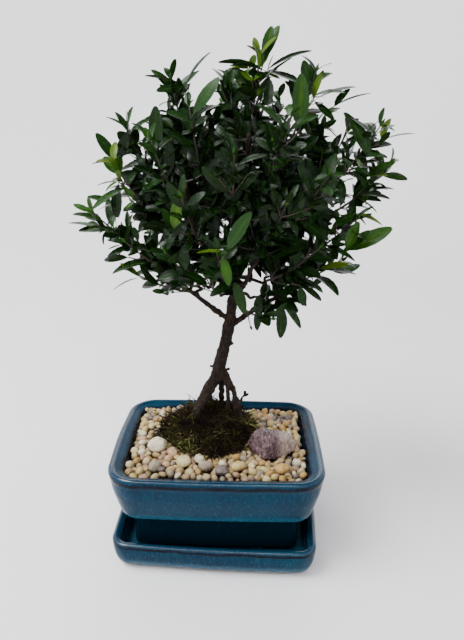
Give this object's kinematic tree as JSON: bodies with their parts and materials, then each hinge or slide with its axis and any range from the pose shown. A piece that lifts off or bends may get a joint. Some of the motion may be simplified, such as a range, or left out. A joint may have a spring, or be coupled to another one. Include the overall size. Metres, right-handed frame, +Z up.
{
  "type": "bonsai tree in a pot",
  "caption": "Small broom-style bonsai tree on exposed roots, in a blue glazed rectangular pot with moss, gravel and a large stone, standing in a matching drip tray.",
  "frame": {"origin": "under the middle of the whole object's box, on the surface that the tray's feet stand on", "axes": "+Z up along the tree; X along the pot's long side; -Y towards the pot's front, the side with the larger gravel path"},
  "size_m": [0.2382, 0.195, 0.3597],
  "materials": {
    "glaze": "gloss",
    "screen": "satin",
    "soil": "matte",
    "gravel": "satin",
    "pebble": "satin",
    "amethyst": "satin",
    "moss": "matte",
    "bark": "matte",
    "leaf": "satin"
  },
  "bodies": {
    "root": {"amethyst_stone": "amethyst", "drain_screen": "screen", "gravel_bed": "gravel", "moss_mound": "moss", "pebble_01": "pebble", "pebble_02": "pebble", "pebble_03": "pebble", "pebble_04": "pebble", "pebble_05": "pebble", "pebble_06": "pebble", "pebble_07": "pebble", "pebble_08": "pebble", "pebble_09": "pebble", "pot": "glaze", "soil": "soil", "spray_01": "leaf", "spray_02": "leaf", "spray_03": "leaf", "spray_04": "leaf", "spray_05": "leaf", "spray_06": "leaf", "spray_07": "leaf", "spray_08": "leaf", "spray_09": "leaf", "spray_10": "leaf", "spray_11": "leaf", "spray_12": "leaf", "spray_13": "leaf", "spray_14": "leaf", "spray_15": "leaf", "spray_16": "leaf", "spray_17": "leaf", "spray_18": "leaf", "spray_19": "leaf", "spray_20": "leaf", "spray_21": "leaf", "spray_22": "leaf", "spray_23": "leaf", "spray_24": "leaf", "spray_25": "leaf", "spray_26": "leaf", "spray_27": "leaf", "spray_28": "leaf", "spray_29": "leaf", "spray_30": "leaf", "spray_31": "leaf", "spray_32": "leaf", "spray_33": "leaf", "spray_34": "leaf", "spray_35": "leaf", "spray_36": "leaf", "spray_37": "leaf", "spray_38": "leaf", "spray_39": "leaf", "tray": "glaze", "trunk_and_branches": "bark"}
  },
  "joints": []
}
